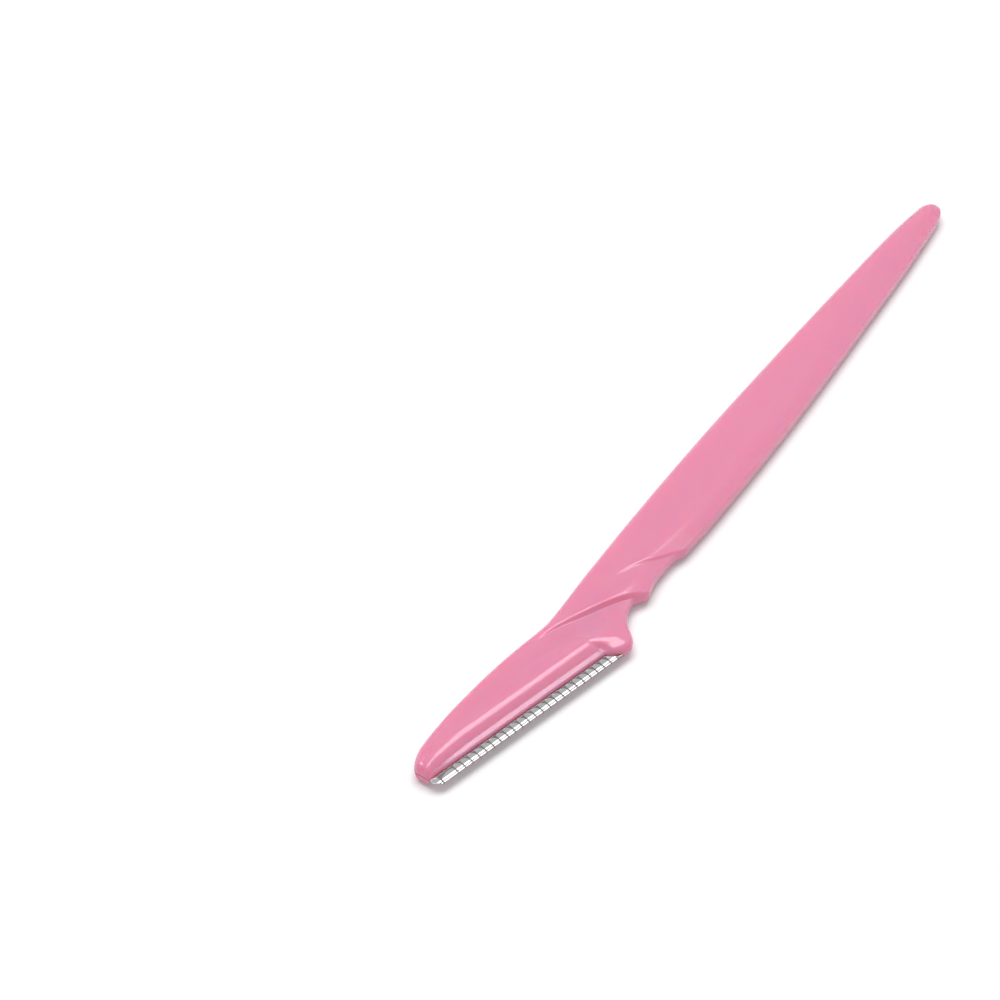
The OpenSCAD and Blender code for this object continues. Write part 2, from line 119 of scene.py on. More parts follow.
# Outline in plan, down from the highest point of the back, in shares of the width
BACK = [
    (0, 0.228), (0.008, 0.206), (0.024, 0.174), (0.054, 0.136), (0.105, 0.103), (0.2, 0.083),
    (0.31, 0.074), (0.47, 0.083), (0.61, 0.103), (0.745, 0.138), (0.85, 0.173), (0.915, 0.187),
    (1, 0.178), (1.22, 0.152), (1.5, 0.124), (2, 0.08), (2.2, 0.03), (2.35, 0.01),
    (WIDEST, 0), (2.8, 0.006), (2.9, 0.02), (2.955, 0.042), (3, 0.064)]
FRONT = [
    (0.93, 0.896), (0.949, 0.945), (0.97, 0.982), (1, 1), (1.056, 0.974), (1.103, 0.917),
    (1.14, 0.859), (1.178, 0.808), (1.23, 0.76), (1.3, 0.718), (LARGE_NOTCH, 0.7),
    (1.388, 0.704), (1.481, 0.762), (LARGE_CORNER, 0.766), (1.54, 0.75), (1.636, 0.72),
    (1.73, 0.706), (1.846, 0.706), (SMALL_NOTCH, 0.717), (1.935, 0.721), (1.991, 0.747),
    (2, 0.75), (2.05, 0.751), (2.2, 0.725), (2.355, 0.676), (2.51, 0.605), (2.665, 0.523),
    (2.82, 0.438), (2.9, 0.382), (2.955, 0.338), (3, 0.29)]
# Crests of the two crescent steps in plan, in shares of the width
LARGE_CREST = [
    (LARGE_START, 0.256), (0.873, 0.276), (0.954, 0.333), (1.014, 0.385), (1.107, 0.436),
    (1.2, 0.494), (1.294, 0.564), (1.388, 0.647), (1.449, 0.701), (LARGE_CORNER, 0.765)]
SMALL_CREST = [
    (SMALL_START, 0.404), (1.528, 0.429), (1.621, 0.468), (1.715, 0.532), (1.808, 0.609),
    (1.9, 0.673), (1.958, 0.712), (2, 0.744)]
# Width of each step's slope in plan, in shares of its greatest depth
LARGE_SLOPE = [(LARGE_START, 0), (0.9, 0.4), (1, 0.65), (1.2, 0.65), (LARGE_NOTCH, 0.6)]
SMALL_SLOPE = [(SMALL_START, 0), (1.6, 0.7), (1.8, 0.8), (2, 0.7)]
# Depth of each step, in shares of its greatest depth
LARGE_DEPTH = [(LARGE_START, 0), (0.9, 0.3), (1, 0.65), (1.1, 0.8), (1.2, 0.88), (LARGE_NOTCH, 1)]
SMALL_DEPTH = [
    (SMALL_START, 0), (1.55, 0.45), (1.7, 0.85), (1.85, 1), (SMALL_NOTCH, 0.9), (2, 0)]
# Heights above the middle plane, in shares of half the thickness. The level is the lowest of three
# curves: the head's and the neck's, the hair-deep hollow of the land, and the thinner end
LEVEL = [
    (0, 0.86), (0.05, 0.82), (0.2, 0.8), (0.5, 0.8), (LARGE_START, 0.8), (0.9, 0.83), (1, 0.88),
    (1.2, 0.9), (LARGE_NOTCH, 1)]
LAND_LEVEL = [(LARGE_NOTCH, 1), (1.9, 0.985), (2.41, 0.985), (LAND_END, 1)]
END_LEVEL = [(LAND_END, 1), (3, 0.78)]
VALLEY = [
    (0, 0.88), (0.1, 0.84), (0.3, 0.84), (0.6, 0.8), (0.8, 0.72), (0.9, 0.66), (1, 0.6),
    (1.1, 0.54), (1.3, 0.5)]
RIDGE = [
    (0, 0.9), (0.1, 0.94), (0.3, 0.97), (0.8, 0.97), (0.93, 0.94), (1, 0.86), (1.1, 0.64),
    (1.2, 0.53), (1.3, 0.5)]
# Height of the top of the front wall, in shares of its height on the handle
ARRIS = [
    (HEEL, 0.72), (0.95, 1), (1, 1.14), (1.06, 1.06), (1.14, 0.84), (1.2, 0.76), (1.3, 0.7),
    (LARGE_NOTCH, 0.68), (LARGE_CORNER, 0.96), (2, 1), (WIDEST, 1), (3, 0.8)]
# How round the front is, in shares of the heel lobe's round
FRONT_ROUND = [
    (0.9, 0), (0.95, 0.8), (1, 1), (1.06, 0.95), (1.14, 0.6), (1.24, 0.3), (LARGE_NOTCH, 0.12),
    (LARGE_CORNER, 0)]
# Place of the faint valley beside the ridge, from the ridge to the back's shoulder
VALLEY_LINE = [
    (0, 0.5), (0.3, 0.8), (0.47, 0.86), (0.61, 0.76), (0.745, 0.62), (0.88, 0.42), (0.96, 0.34),
    (1.05, 0.26), (1.15, 0.4), (1.3, 0.5)]


def place(station):
    """Distance from the tip: a straight run from each numbered station to the next."""
    return np.interp(station, [0, 1, 2, 3], [0, HEAD_LENGTH, HEAD_LENGTH + NECK_LENGTH, OVERALL_LENGTH])


def through(rows, x):
    """A smooth curve through rows of (place, value): between two rows a cubic, whose slope at a row is
    the harmonic mean of the slopes on both sides, or zero at a turning point, so that it never swings
    past a row."""
    at, value = np.array(rows, float).T
    rise = np.diff(value) / np.diff(at)
    product = rise[:-1] * rise[1:]
    both = np.where(product > 0, rise[:-1] + rise[1:], 1)
    slope = np.concatenate([rise[:1], np.where(product > 0, 2 * product / both, 0), rise[-1:]])
    i = np.clip(np.searchsorted(at, x, side="right") - 1, 0, len(at) - 2)
    run = at[i + 1] - at[i]
    t = np.clip((x - at[i]) / run, 0, 1)
    return ((1 + 2 * t) * (1 - t) ** 2 * value[i] + t * (1 - t) ** 2 * run * slope[i]
            + t ** 2 * (3 - 2 * t) * value[i + 1] - t ** 2 * (1 - t) * run * slope[i + 1])


def curve(shares, size, x):
    """The smooth curve through a table of (station, share), in millimetres."""
    return through([(place(station), share * size) for station, share in shares], x)


def mix(a, b, share):
    """The value that lies the given share of the way from a to b."""
    return a + (b - a) * share


def eased(share):
    """The S curve 3 s^2 - 2 s^3 of a share that is held between 0 and 1."""
    s = np.clip(share, 0, 1)
    return s ** 2 * (3 - 2 * s)


def nose(distance, length, blunt, roundness):
    """A superellipse: how large the section is at a distance from the end, over the rounded length,
    blunt at its start."""
    reach = (1 - blunt) * (1 - np.clip(distance / length, 0, 1))
    return (1 - reach ** roundness) ** (1 / roundness)


HEEL_X = place(HEEL)
LARGE_START_X = place(LARGE_START)
LARGE_CORNER_X = place(LARGE_CORNER)
SMALL_START_X = place(SMALL_START)
SMALL_CORNER_X = place(2)
EDGE_START = (TIP_COVER - EDGE_REACH * np.sin(BLADE_LEAN), BODY_WIDTH * (0.5 - EDGE_SHARE))


def lip_y(x):
    """The lip: a straight line that runs beside the cutting edge, at the edge's reach from it."""
    return EDGE_START[1] - (x - EDGE_START[0]) * np.tan(BLADE_LEAN) + EDGE_REACH / np.cos(BLADE_LEAN)


FRONT_ROWS = [(HEEL_X, BODY_WIDTH / 2 - lip_y(HEEL_X))] + [(place(s), v * BODY_WIDTH) for s, v in FRONT]
EDGE_ROWS = [(x, v) for x, v in FRONT_ROWS if not place(NOTCH_START) < x < place(NOTCH_END)]


class Plan:
    """The guide lines that run the moulding's whole length in plan, at the places x: back, shoulder,
    arris and front."""

    def __init__(self, x, front_rows=FRONT_ROWS):
        end = nose(OVERALL_LENGTH - x, *HANDLE_END)
        back = BODY_WIDTH / 2 - curve(BACK, BODY_WIDTH, x)
        front = np.where(x < HEEL_X, lip_y(x), BODY_WIDTH / 2 - through(front_rows, x))
        middle = (back + front) / 2
        self.back = mix(middle, back, end)
        self.front = mix(middle, front, end)
        self.inset = end * mix(WALL_BULGE, LOBE_ROUND, curve(FRONT_ROUND, 1, x))
        self.arris = self.front + self.inset
        round_width = mix(HEAD_BACK_ROUND, HANDLE_BACK_ROUND, eased((x - HEAD_LENGTH) / NECK_LENGTH))
        widest = (self.back - self.arris) * WIDEST_ROUND_SHARE
        self.shoulder = self.back - np.minimum(round_width, widest)


def guide_lines(x):
    """The plan with the crests and feet of the two crescent steps, and the widths, levels and depths that
    the heights need. Ahead of its start the large crest keeps its distance from the shoulder, and the
    small one its share of the way to the large one. Both run out into the arris."""
    p = Plan(x)
    large_start = Plan(np.array([LARGE_START_X]))
    small_start = Plan(np.array([SMALL_START_X]))
    large_gap = large_start.shoulder - BODY_WIDTH / 2 + curve(LARGE_CREST, BODY_WIDTH, LARGE_START_X)
    cut = BODY_WIDTH / 2 - curve(LARGE_CREST, BODY_WIDTH, x)
    ahead = p.shoulder - np.minimum(large_gap, (p.shoulder - p.arris) * WIDEST_GAP_SHARE)
    p.large_crest = np.where(x >= LARGE_CORNER_X, p.arris,
                             np.where(x > LARGE_START_X, np.maximum(p.arris, cut), ahead))
    p.large_foot = np.where(x > LARGE_START_X,
                            np.maximum(p.arris, p.large_crest - curve(LARGE_SLOPE, LARGE_STEP_DEPTH, x)),
                            p.large_crest)
    crest_there = BODY_WIDTH / 2 - curve(LARGE_CREST, BODY_WIDTH, SMALL_START_X)
    part = ((small_start.shoulder - BODY_WIDTH / 2 + curve(SMALL_CREST, BODY_WIDTH, SMALL_START_X))
            / (small_start.shoulder - crest_there))
    cut = BODY_WIDTH / 2 - curve(SMALL_CREST, BODY_WIDTH, x)
    p.small_crest = np.where(x >= SMALL_CORNER_X, p.arris,
                             np.where(x > SMALL_START_X, np.maximum(p.arris, cut),
                                      mix(p.shoulder, p.large_crest, part)))
    p.small_foot = np.where(x > SMALL_START_X,
                            np.maximum(p.arris, p.small_crest - curve(SMALL_SLOPE, SMALL_STEP_DEPTH, x)),
                            p.small_crest)
    p.edge = Plan(np.maximum(x, LARGE_CORNER_X), EDGE_ROWS).arris
    side = p.shoulder - p.edge
    narrowed = eased((x - place(NARROWING)) / (place(LAND_END) - place(NARROWING)))
    p.flat_width = (side - np.minimum(EDGE_SLOPE_WIDTH, side * WIDEST_SLOPE_SHARE)) * (1 - narrowed)
    p.bend = np.maximum(p.small_crest, p.shoulder - p.flat_width)
    p.level = np.min([curve(rows, HALF_THICKNESS, x) for rows in (LEVEL, LAND_LEVEL, END_LEVEL)], axis=0)
    p.wall = curve(ARRIS, WALL_HEIGHT, x)
    p.wall_behind = curve(ARRIS, WALL_HEIGHT, np.maximum(x, LARGE_CORNER_X))
    p.small_depth = np.where((x < SMALL_START_X) | (x > SMALL_CORNER_X), 0,
                             curve(SMALL_DEPTH, SMALL_STEP_DEPTH, x))
    p.large_depth = np.where(x > LARGE_START_X, curve(LARGE_DEPTH, LARGE_STEP_DEPTH, x), 0)
    return p


def hollow(p, y):
    """How far the flat land lies below its level: a parabola over the land's width."""
    across = np.clip((p.shoulder - y) / np.maximum(p.flat_width, 1e-6), 0, 1)
    return LAND_HOLLOW * 4 * across * (1 - across)


def plain_height(p, y):
    """Height of the plain side: a land that is hollow by a shallow parabola, then rounding by a parabola
    into an even slope down to the edge."""
    part = 1 - np.clip((y - p.edge) / (p.shoulder - p.edge - p.flat_width), 0, 1)
    round_part, straight_part = part ** 2 / 2 / SLOPE_ROUND_SHARE, part - SLOPE_ROUND_SHARE / 2
    fall = np.where(part < SLOPE_ROUND_SHARE, round_part, straight_part) / (1 - SLOPE_ROUND_SHARE / 2)
    return p.level - (p.level - p.wall_behind) * fall - hollow(p, y)


def scale_height(p, y):
    """Height in front of the small step: the plain side less the step's depth, which eases out over
    the step's run."""
    return plain_height(p, y) - p.small_depth * (1 - eased((p.small_foot - y) / SMALL_STEP_RUN))


def straight(y0, h0, y1, h1, power=1):
    """A span from one point to another, whose height changes as a power of the way along it."""
    return lambda t: (mix(y0, y1, t), mix(h0, h1, t ** power))


def path_over(spans, counts, radii, corner_points=5):
    """A path over spans that meet at corners. Each corner is rounded by a parabola that leaves one
    span and joins the next at the corner's radius from it, or at 0.4 of the span if that is less."""
    lengths = [np.hypot(s(1.0)[0] - s(0.0)[0], s(1.0)[1] - s(0.0)[1]) for s in spans]
    columns = []
    tiny = 1e-6
    for i, span in enumerate(spans):
        first = radii[i - 1] if i else 0
        last = radii[i] if i < len(spans) - 1 else 0
        start = np.minimum(first / np.maximum(lengths[i], tiny), 0.4)
        stop = 1 - np.minimum(last / np.maximum(lengths[i], tiny), 0.4)
        meets_smoothly = i > 0 and not first
        for k in range(1 if meets_smoothly else 0, counts[i]):
            columns.append(span(mix(start, stop, k / (counts[i] - 1))))
        if last:
            leave, corner = columns[-1], span(1.0)
            after = spans[i + 1]
            join = after(np.minimum(last / np.maximum(lengths[i + 1], tiny), 0.4))
            for k in range(1, corner_points):
                t = k / corner_points
                columns.append(tuple((1 - t) ** 2 * leave[c] + 2 * t * (1 - t) * corner[c] + t ** 2 * join[c]
                                     for c in (0, 1)))
    return np.array([y for y, h in columns]), np.array([h for y, h in columns])


def side_path(x, tip_rounding):
    """One side of the sections at the places x, from the back's parting line to the front's, as arrays
    of y and height with a row for each point and a column for each place. Its height rounds off at the
    tip as the second value says."""
    p = guide_lines(x)
    off_head = eased((x - HEEL_X) / (HEAD_LENGTH - HEEL_X) / LOBE_STEP_SHARE)
    lip = np.where(x < LARGE_CORNER_X, mix(LIP_HEIGHT, p.wall, off_head), scale_height(p, p.arris))
    joined = np.clip((p.large_foot - p.arris) / RUN_IN_WIDTH, 0, 1)
    foot_h = mix(lip, p.level - hollow(p, p.large_foot) - p.large_depth, joined)
    valley_h = mix(lip, curve(VALLEY, HALF_THICKNESS, x), joined)
    ridge_h = mix(lip, curve(RIDGE, HALF_THICKNESS, x), joined)
    ridge = p.arris + np.minimum(RIDGE_GAP, (p.large_foot - p.arris) * WIDEST_RIDGE_SHARE)
    valley_limit = mix(ridge, p.large_foot, WIDEST_VALLEY_SHARE)
    valley = np.minimum(mix(ridge, p.shoulder, curve(VALLEY_LINE, 1, x)), valley_limit)
    band = mix(p.arris, ridge, BAND_WIDTH / RIDGE_GAP)
    band_h = np.minimum(mix(lip, ridge_h, BAND_WIDTH / RIDGE_GAP), lip + BAND_RISE)
    spans = [
        lambda t: (mix(p.back, p.shoulder, 1 - np.cos(t * np.pi / 2)), p.level * np.sin(t * np.pi / 2)),
        lambda t: (mix(p.shoulder, p.bend, t), plain_height(p, mix(p.shoulder, p.bend, t))),
        lambda t: (mix(p.bend, p.small_crest, t), plain_height(p, mix(p.bend, p.small_crest, t))),
        straight(p.small_crest, plain_height(p, p.small_crest), p.small_foot, scale_height(p, p.small_foot)),
        lambda t: (mix(p.small_foot, p.large_crest, t),
                   scale_height(p, mix(p.small_foot, p.large_crest, t))),
        straight(p.large_crest, scale_height(p, p.large_crest), p.large_foot, foot_h),
        straight(p.large_foot, foot_h, valley, valley_h),
        lambda t: (mix(valley, ridge, t), mix(valley_h, ridge_h, eased(t))),
        straight(ridge, ridge_h, band, band_h, power=2),
        straight(band, band_h, p.arris, lip),
        lambda t: (p.arris - p.inset * np.sin(t * np.pi / 2), lip * np.cos(t * np.pi / 2))]
    points_on_each = [12, 6, 12, 3, 12, 4, 6, 14, 10, 3, 11]
    corner_radii = [0, 0, 0.12, 0.14, 0.1, 0.16, 0.6, 0, 0.1, 0.09]
    y, h = path_over(spans, points_on_each, corner_radii)
    return y, h * nose(x, *tip_rounding) * nose(OVERALL_LENGTH - x, *HANDLE_END)


def rounded(y, h, radius=0.15, spare=0.02, tries=9):
    """Sections whose corners are rounded: each point becomes the mean of the path within the radius of
    it. The path goes on as its mirror image past both parting lines. Every step along it first grows by
    the spare length, so that points which share a place spread over the corner."""
    step = np.hypot(np.diff(y, axis=0), np.diff(h, axis=0))
    zero = np.zeros((1, y.shape[1]))
    along = np.concatenate([zero, np.cumsum(step, axis=0)])
    spread = np.concatenate([zero, np.cumsum(step + spare, axis=0)])
    wanted = spread * along[-1] / spread[-1]
    around = np.linspace(-radius, radius, tries)[:, None]
    new_y, new_h = np.empty_like(y), np.empty_like(h)
    for k in range(y.shape[1]):
        s = wanted[:, k] + around * min(1, along[-1, k])
        whole = along[-1, k]
        folded = np.where(s > whole, 2 * whole - s, np.abs(s))
        sign = np.where((s < 0) | (s > whole), -1, 1)
        new_y[:, k] = np.interp(folded, along[:, k], y[:, k]).mean(axis=0)
        new_h[:, k] = (sign * np.interp(folded, along[:, k], h[:, k])).mean(axis=0)
    return new_y, new_h


def tip_draft(x, h):
    """How far the face of the tip leans back: evenly with the height above or below the parting line,
    and a little more above it, with a fine groove in the line. It fades out over the tip's rounding."""
    fade = 1 - eased(x / TIP_DRAFT_LENGTH)
    lean = TIP_DRAFT * np.abs(h) / HALF_THICKNESS + np.where(h > HALF_GROOVE, TIP_STEP, 0)
    return fade * np.where(np.abs(h) < HALF_GROOVE, TIP_GROOVE, lean)


def places_along():
    """Places of the sections: close together on the head and the neck, and closer still at the ends."""
    tip = TIP_ROUND_LENGTH * np.linspace(0, 1, 13) ** 2
    behind_the_lobe, behind_the_small_step = place(1.24), place(2.02)
    # Start, stop and number of sections of each stretch
    stretches = [
        (TIP_ROUND_LENGTH, LARGE_START_X, 110), (LARGE_START_X, HEEL_X, 24), (HEEL_X, behind_the_lobe, 70),
        (behind_the_lobe, LARGE_CORNER_X, 34), (LARGE_CORNER_X, behind_the_small_step, 60),
        (behind_the_small_step, OVERALL_LENGTH - END_ROUND_LENGTH, 54)]
    middle = [np.linspace(start, stop, count, endpoint=False) for start, stop, count in stretches]
    middle[0] = middle[0][1:]
    end = OVERALL_LENGTH - END_ROUND_LENGTH * (1 - np.sin(np.linspace(0, np.pi / 2, 16)))
    return np.concatenate([tip] + middle + [end])


def grid_faces(rows, columns):
    """Quads between the neighbouring points of a grid that is stored row by row, with its last column
    joined to its first."""
    a = np.arange(rows * columns).reshape(rows, columns)
    right = np.roll(a, -1, axis=1)
    return np.stack([a[:-1], a[1:], right[1:], right[:-1]], axis=-1).reshape(-1, 4)


def mesh_object(name, points, faces):
    """A mesh object from arrays of points in metres and of faces, smooth shaded."""
    mesh = bpy.data.meshes.new(name)
    mesh.from_pydata(points.tolist(), [], [list(face) for face in faces])
    mesh.validate()
    mesh.shade_smooth()
    piece = bpy.data.objects.new(name, mesh)
    bpy.context.scene.collection.objects.link(piece)
    return piece


def welded(points, quads, nearest=1e-7):
    """Points that lie in one place joined, with the quads that lose a corner turned into triangles and
    those that lose more left out."""
    keys = np.round(points / nearest).astype(np.int64)
    _, first, which = np.unique(keys, axis=0, return_index=True, return_inverse=True)
    quads = which.reshape(-1)[quads]
    same = quads == np.roll(quads, -1, axis=1)
    whole = quads[same.sum(axis=1) == 0]
    crossed = (whole[:, 0] == whole[:, 2]) | (whole[:, 1] == whole[:, 3])
    pinched = quads[same.sum(axis=1) == 1]
    turn = np.argmax(same[same.sum(axis=1) == 1], axis=1)
    rows = np.arange(len(pinched))[:, None]
    triangles = pinched[rows, (turn[:, None] + np.array([1, 2, 3])) % 4]
    thick = (triangles[:, 0] != triangles[:, 1]) & (triangles[:, 1] != triangles[:, 2])
    thick &= triangles[:, 2] != triangles[:, 0]
    return points[first], whole[~crossed].tolist() + triangles[thick].tolist()


def moulding():
    """The moulding as one closed skin: sections along the razor, each one side path above the middle
    plane and one below it, which is the same but for the rounding of the tip, with a strip across each
    end."""
    x = places_along()
    y, h = rounded(*side_path(x, TIP_ABOVE))
    low_y, low_h = rounded(*side_path(x, TIP_BELOW))
    n = len(y)
    ring_y = np.concatenate([y, low_y[-2:0:-1]])
    ring_h = np.concatenate([h, -low_h[-2:0:-1]])
    ring = len(ring_y)
    across = np.broadcast_to(x, ring_y.shape) + tip_draft(x, ring_h)
    points = np.stack([across - OVERALL_LENGTH / 2, ring_y, HALF_THICKNESS + ring_h], axis=-1)
    points = points.transpose(1, 0, 2).reshape(-1, 3) * MM
    walls = grid_faces(len(x), ring)
    i = np.arange(n - 1)
    caps = []
    for k in (0, len(x) - 1):
        base = k * ring
        upper, next_upper = base + i, base + i + 1
        next_lower, lower = base + (ring - i - 1) % ring, base + (ring - i) % ring
        cap = np.stack([upper, next_upper, next_lower, lower], axis=-1)
        caps.append(cap if k == 0 else cap[:, ::-1])
    return mesh_object("moulding", *welded(points, np.concatenate([walls] + caps)))


def material(name):
    """A new node material, its node tree and its Principled shader."""
    made = bpy.data.materials.new(name)
    made.use_nodes = True
    return made, made.node_tree, made.node_tree.nodes["Principled BSDF"]


def joined(tree, node_type, inputs=(), **settings):
    """A new node with its settings and inputs, where an input is a value or another node's output."""
    node = tree.nodes.new(node_type)
    for key, value in settings.items():
        setattr(node, key, value)
    for socket, value in inputs:
        if isinstance(value, bpy.types.NodeSocket):
            tree.links.new(value, node.inputs[socket])
        else:
            node.inputs[socket].default_value = value
    return node


def linear(red, green, blue):
    """The linear colour of three display values from 0 to 255."""
    c = np.array([red, green, blue]) / 255
    low = c <= 0.04045
    return tuple(np.where(low, c / 12.92, ((c + 0.055) / 1.055) ** 2.4)) + (1.0,)


def object_noise(tree, scale, detail=2.0, roughness=0.5, rotation=(0, 0, 0), stretch=(1, 1, 1)):
    """Noise on the object's own coordinates, turned and stretched."""
    place_node = joined(tree, "ShaderNodeTexCoord")
    mapped = joined(tree, "ShaderNodeMapping", [
        ("Vector", place_node.outputs["Object"]), ("Rotation", rotation), ("Scale", stretch)])
    return joined(tree, "ShaderNodeTexNoise", [
        ("Vector", mapped.outputs[0]), ("Scale", scale), ("Detail", detail), ("Roughness", roughness)])


def ranged(tree, value, low, high):
    """A value from 0 to 1 spread over low to high."""
    spread = joined(tree, "ShaderNodeMapRange", [("Value", value), ("To Min", low), ("To Max", high)])
    return spread.outputs[0]


def between(tree, value, low, high):
    """1 where a value lies between low and high, else 0."""
    above = joined(tree, "ShaderNodeMath", [(0, value), (1, low)], operation="GREATER_THAN")
    below = joined(tree, "ShaderNodeMath", [(0, value), (1, high)], operation="LESS_THAN")
    return joined(tree, "ShaderNodeMath", [
        (0, above.outputs[0]), (1, below.outputs[0])], operation="MULTIPLY").outputs[0]


def at_the_parting_line(tree):
    """1 in a narrow band at the middle plane on the face of the tip, where the halves of the mould met: the
    band that is painted darker as the shade in the seam.
    """
    coordinates = joined(tree, "ShaderNodeTexCoord")
    parts = joined(tree, "ShaderNodeSeparateXYZ", [(0, coordinates.outputs["Object"])])
    middle = between(
        tree, parts.outputs["Z"], (HALF_THICKNESS - HALF_SHADE_LINE) * MM, (HALF_THICKNESS + HALF_SHADE_LINE) * MM)
    tip_x = -OVERALL_LENGTH / 2
    tip = between(tree, parts.outputs["X"], (tip_x - OUTSIDE) * MM, (tip_x + SHADE_LINE_REACH) * MM)
    return joined(tree, "ShaderNodeMath", [(0, middle), (1, tip)], operation="MULTIPLY").outputs[0]


def pink_plastic():
    """Glossy pink plastic: a faint cloud in its colour, a few darker specks, painted shade along the
    parting line at the tip, a moulded micro texture, and light that scatters a little way under the skin."""
    made, tree, shader = material("pink plastic")
    cloud = object_noise(tree, 90, 3)
    tint = joined(tree, "ShaderNodeMix", [
        (0, cloud.outputs[0]), (6, linear(231, 144, 175)), (7, linear(233, 147, 178))], data_type="RGBA")
    coordinates = joined(tree, "ShaderNodeTexCoord")
    specks = joined(tree, "ShaderNodeTexVoronoi", [
        ("Vector", coordinates.outputs["Object"]), ("Scale", 330.0), ("Randomness", 1.0)])
    near = joined(tree, "ShaderNodeMapRange", [
        ("Value", specks.outputs["Distance"]), ("From Min", 0.016), ("From Max", 0.03),
        ("To Min", 1.0), ("To Max", 0.0)])
    few = joined(tree, "ShaderNodeMath", [(0, specks.outputs["Color"]), (1, 0.9)], operation="GREATER_THAN")
    spot = joined(tree, "ShaderNodeMath", [(0, near.outputs[0]), (1, few.outputs[0])], operation="MULTIPLY")
    tinted = joined(tree, "ShaderNodeMix", [
        (0, spot.outputs[0]), (6, tint.outputs[2]), (7, linear(196, 84, 120))], data_type="RGBA")
    # Painted shade: the seam of the parting line on the tip is darkened in the colour
    seam_shaded = joined(tree, "ShaderNodeMix", [
        (0, at_the_parting_line(tree)), (6, tinted.outputs[2]), (7, linear(176, 66, 104))], data_type="RGBA")
    tree.links.new(seam_shaded.outputs[2], shader.inputs["Base Color"])
    uneven = object_noise(tree, 300, 2)
    tree.links.new(ranged(tree, uneven.outputs[0], 0.15, 0.21), shader.inputs["Roughness"])
    grain = joined(tree, "ShaderNodeBump", [
        ("Height", object_noise(tree, 5200, 2).outputs[0]), ("Strength", 0.12), ("Distance", 0.00001)])
    tree.links.new(grain.outputs[0], shader.inputs["Normal"])
    shader.inputs["IOR"].default_value = 1.5
    shader.inputs["Coat Weight"].default_value = 0.4
    shader.inputs["Coat Roughness"].default_value = 0.12
    shader.inputs["Coat IOR"].default_value = 1.5
    shader.inputs["Subsurface Weight"].default_value = 1.0
    shader.inputs["Subsurface Radius"].default_value = (1.0, 0.18, 0.28)
    shader.inputs["Subsurface Scale"].default_value = 0.0038
    return made


def from_the_edge(tree):
    """Distance of a point from the cutting edge in metres: its place in plan, turned by the lean."""
    coordinates = joined(tree, "ShaderNodeTexCoord")
    turned = joined(tree, "ShaderNodeVectorMath", [
        (0, coordinates.outputs["Object"]), (1, (float(np.sin(BLADE_LEAN)), float(np.cos(BLADE_LEAN)), 0.0))],
        operation="DOT_PRODUCT")
    start = (EDGE_START[0] - OVERALL_LENGTH / 2) * np.sin(BLADE_LEAN) + EDGE_START[1] * np.cos(BLADE_LEAN)
    return joined(tree, "ShaderNodeMath", [
        (0, turned.outputs["Value"]), (1, float(start * MM))], operation="SUBTRACT").outputs[0]


def ground_steel():
    """Bright strip steel with fine grind lines. The bevel is ground rougher, with a painted grey shade
    line where its two facets meet and a painted dark reflection along the edge itself."""
    made, tree, shader = material("ground steel")
    lines = object_noise(tree, 900, 3, 0.6, (0, 0, BLADE_LEAN), (0.04, 3, 1))
    depth = from_the_edge(tree)
    tone = joined(tree, "ShaderNodeMix", [
        (0, lines.outputs[0]), (6, linear(222, 222, 224)), (7, linear(238, 238, 240))], data_type="RGBA")
    # Painted shade: a grey line where the bevel's two facets meet
    facet_shade_painted = joined(tree, "ShaderNodeMix", [
        (0, between(tree, depth, FACET_SHADE_BAND[0] * MM, FACET_SHADE_BAND[1] * MM)),
        (6, tone.outputs[2]), (7, linear(96, 92, 94))], data_type="RGBA")
    # Painted reflection: a dark, reddish line along the cutting edge
    edge_reflection_painted = joined(tree, "ShaderNodeMix", [
        (0, between(tree, depth, -OUTSIDE * MM, EDGE_REFLECTION_REACH * MM)),
        (6, facet_shade_painted.outputs[2]), (7, linear(112, 84, 84))], data_type="RGBA")
    tree.links.new(edge_reflection_painted.outputs[2], shader.inputs["Base Color"])
    smooth = ranged(tree, lines.outputs[0], 0.08, 0.14)
    rough = ranged(tree, lines.outputs[0], 0.46, 0.56)
    bevel = joined(tree, "ShaderNodeMix", [
        (0, between(tree, depth, -OUTSIDE * MM, BEVEL_WIDTH * MM)), (2, smooth), (3, rough)])
    tree.links.new(bevel.outputs[0], shader.inputs["Roughness"])
    scratch = joined(tree, "ShaderNodeBump", [
        ("Height", lines.outputs[0]), ("Strength", 0.1), ("Distance", 0.00001)])
    tree.links.new(scratch.outputs[0], shader.inputs["Normal"])
    shader.inputs["Metallic"].default_value = 1.0
    return made


def satin_foil():
    """Darker satin steel of the folded foil, with a faint rolled grain."""
    made, tree, shader = material("satin foil")
    grain = object_noise(tree, 1400, 2, 0.5, (0, 0, BLADE_LEAN), (0.2, 2, 1))
    tone = joined(tree, "ShaderNodeMix", [
        (0, grain.outputs[0]), (6, linear(150, 144, 142)), (7, linear(168, 162, 160))], data_type="RGBA")
    tree.links.new(tone.outputs[2], shader.inputs["Base Color"])
    tree.links.new(ranged(tree, grain.outputs[0], 0.12, 0.2), shader.inputs["Roughness"])
    shader.inputs["Metallic"].default_value = 1.0
    return made


def give(node, made):
    """Puts a material in every slot of a CAD node."""
    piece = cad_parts[node]
    if not piece.material_slots:
        piece.data.materials.append(made)
    for slot in piece.material_slots:
        slot.material = made


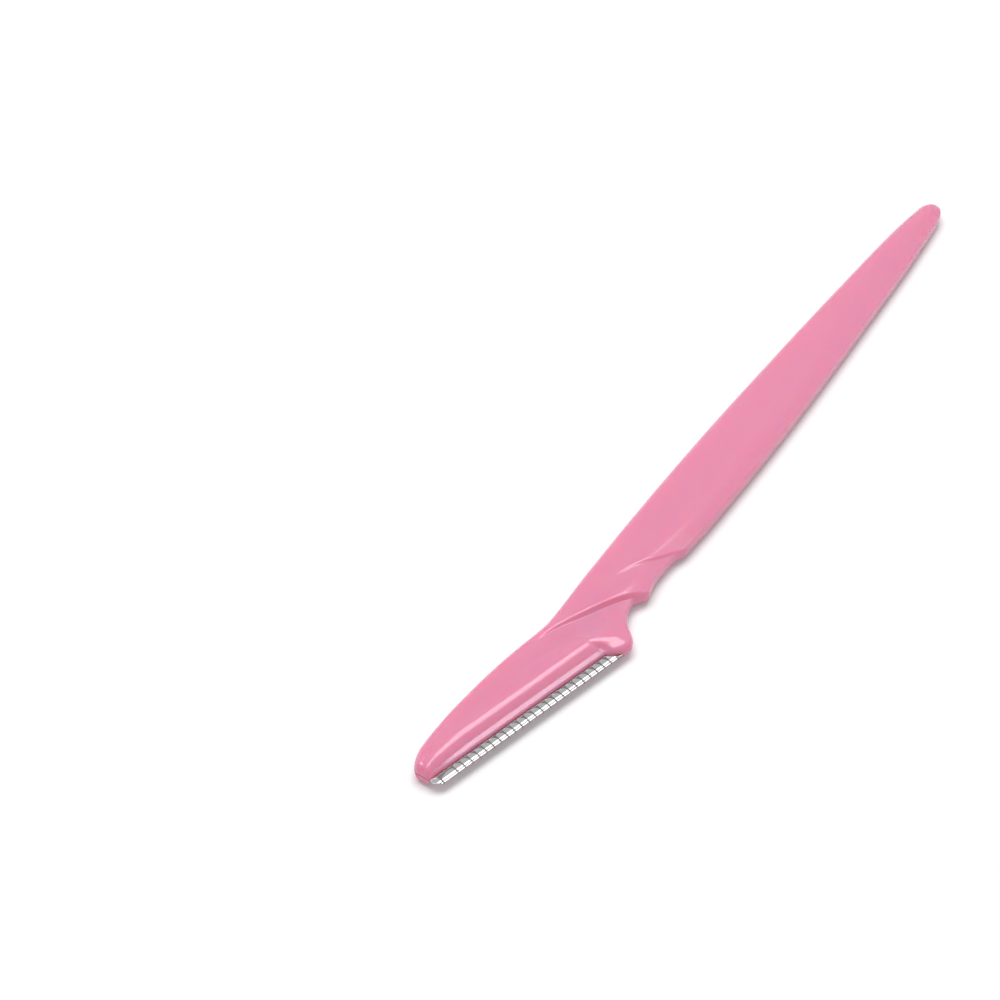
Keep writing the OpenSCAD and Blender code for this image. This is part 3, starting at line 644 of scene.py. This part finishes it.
def white_floor():
    """A wide white floor. The camera alone sees a little glow of its own, so that it is white away
    from the shadow."""
    half_side = 1.5
    corners = [(-half_side, -half_side, 0), (half_side, -half_side, 0), (half_side, half_side, 0),
               (-half_side, half_side, 0)]
    floor = mesh_object("floor", np.array(corners), [(0, 1, 2, 3)])
    made, tree, shader = material("white floor")
    shader.inputs["Base Color"].default_value = (0.88, 0.88, 0.88, 1)
    shader.inputs["Roughness"].default_value = 0.9
    shader.inputs["Specular IOR Level"].default_value = 0.0
    rays = joined(tree, "ShaderNodeLightPath")
    glow = joined(tree, "ShaderNodeEmission", [
        ("Color", (1, 1, 1, 1)), ("Strength", ranged(tree, rays.outputs["Is Camera Ray"], 0.0, 0.14))])
    both = joined(tree, "ShaderNodeAddShader", [(0, shader.outputs[0]), (1, glow.outputs[0])])
    tree.links.new(both.outputs[0], tree.nodes["Material Output"].inputs["Surface"])
    floor.data.materials.append(made)


def soft_lamp(name, at, aim, width, depth, power):
    """A rectangular soft lamp that points from its place at a spot."""
    light = bpy.data.lights.new(name, "AREA")
    light.shape = "RECTANGLE"
    light.size = width
    light.size_y = depth
    light.energy = power
    lamp = bpy.data.objects.new(name, light)
    lamp.location = at
    lamp.rotation_euler = (Vector(aim) - Vector(at)).to_track_quat("-Z", "Y").to_euler()
    bpy.context.scene.collection.objects.link(lamp)


def studio():
    """Soft light from above and a little behind, an even grey room, and a white backdrop."""
    soft_lamp("overhead light", (0.05, 0.1, 0.55), (0.0, 0.0, 0.0), 0.58, 0.3, 2.5)
    world = bpy.data.worlds.new("room")
    bpy.context.scene.world = world
    world.use_nodes = True
    tree = world.node_tree
    back = tree.nodes["Background"]
    rays = joined(tree, "ShaderNodeLightPath")
    room = joined(tree, "ShaderNodeMix", [
        (0, rays.outputs["Is Glossy Ray"]), (6, (0.42, 0.42, 0.42, 1)), (7, (0.5, 0.5, 0.5, 1))],
        data_type="RGBA")
    shade = joined(tree, "ShaderNodeMix", [
        (0, rays.outputs["Is Camera Ray"]), (6, room.outputs[2]), (7, (1, 1, 1, 1))], data_type="RGBA")
    tree.links.new(shade.outputs[2], back.inputs["Color"])


def camera():
    """The photograph's camera: in front of the tip's side, looking down along the razor."""
    right = Vector((0.567612, -0.823277, 0.005621))
    up = Vector((0.572356, 0.399503, 0.716104))
    back = Vector((-0.591798, -0.403252, 0.697971))
    turn = Matrix((right, up, back)).transposed().to_4x4()
    data = bpy.data.cameras.new("camera")
    data.lens = 98.428
    data.sensor_width = 36
    data.clip_start = 0.01
    eye = bpy.data.objects.new("camera", data)
    eye.matrix_world = Matrix.Translation(Vector((-274.342, -143.887, 295.107)) * MM) @ turn
    bpy.context.scene.collection.objects.link(eye)
    bpy.context.scene.camera = eye


camera()
plastic_body = moulding()
plastic_body.data.materials.append(pink_plastic())
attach(plastic_body, "root")
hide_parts("handle")
give("blade", ground_steel())
give("guard", satin_foil())
white_floor()
studio()
bpy.context.scene.view_settings.view_transform = "Standard"
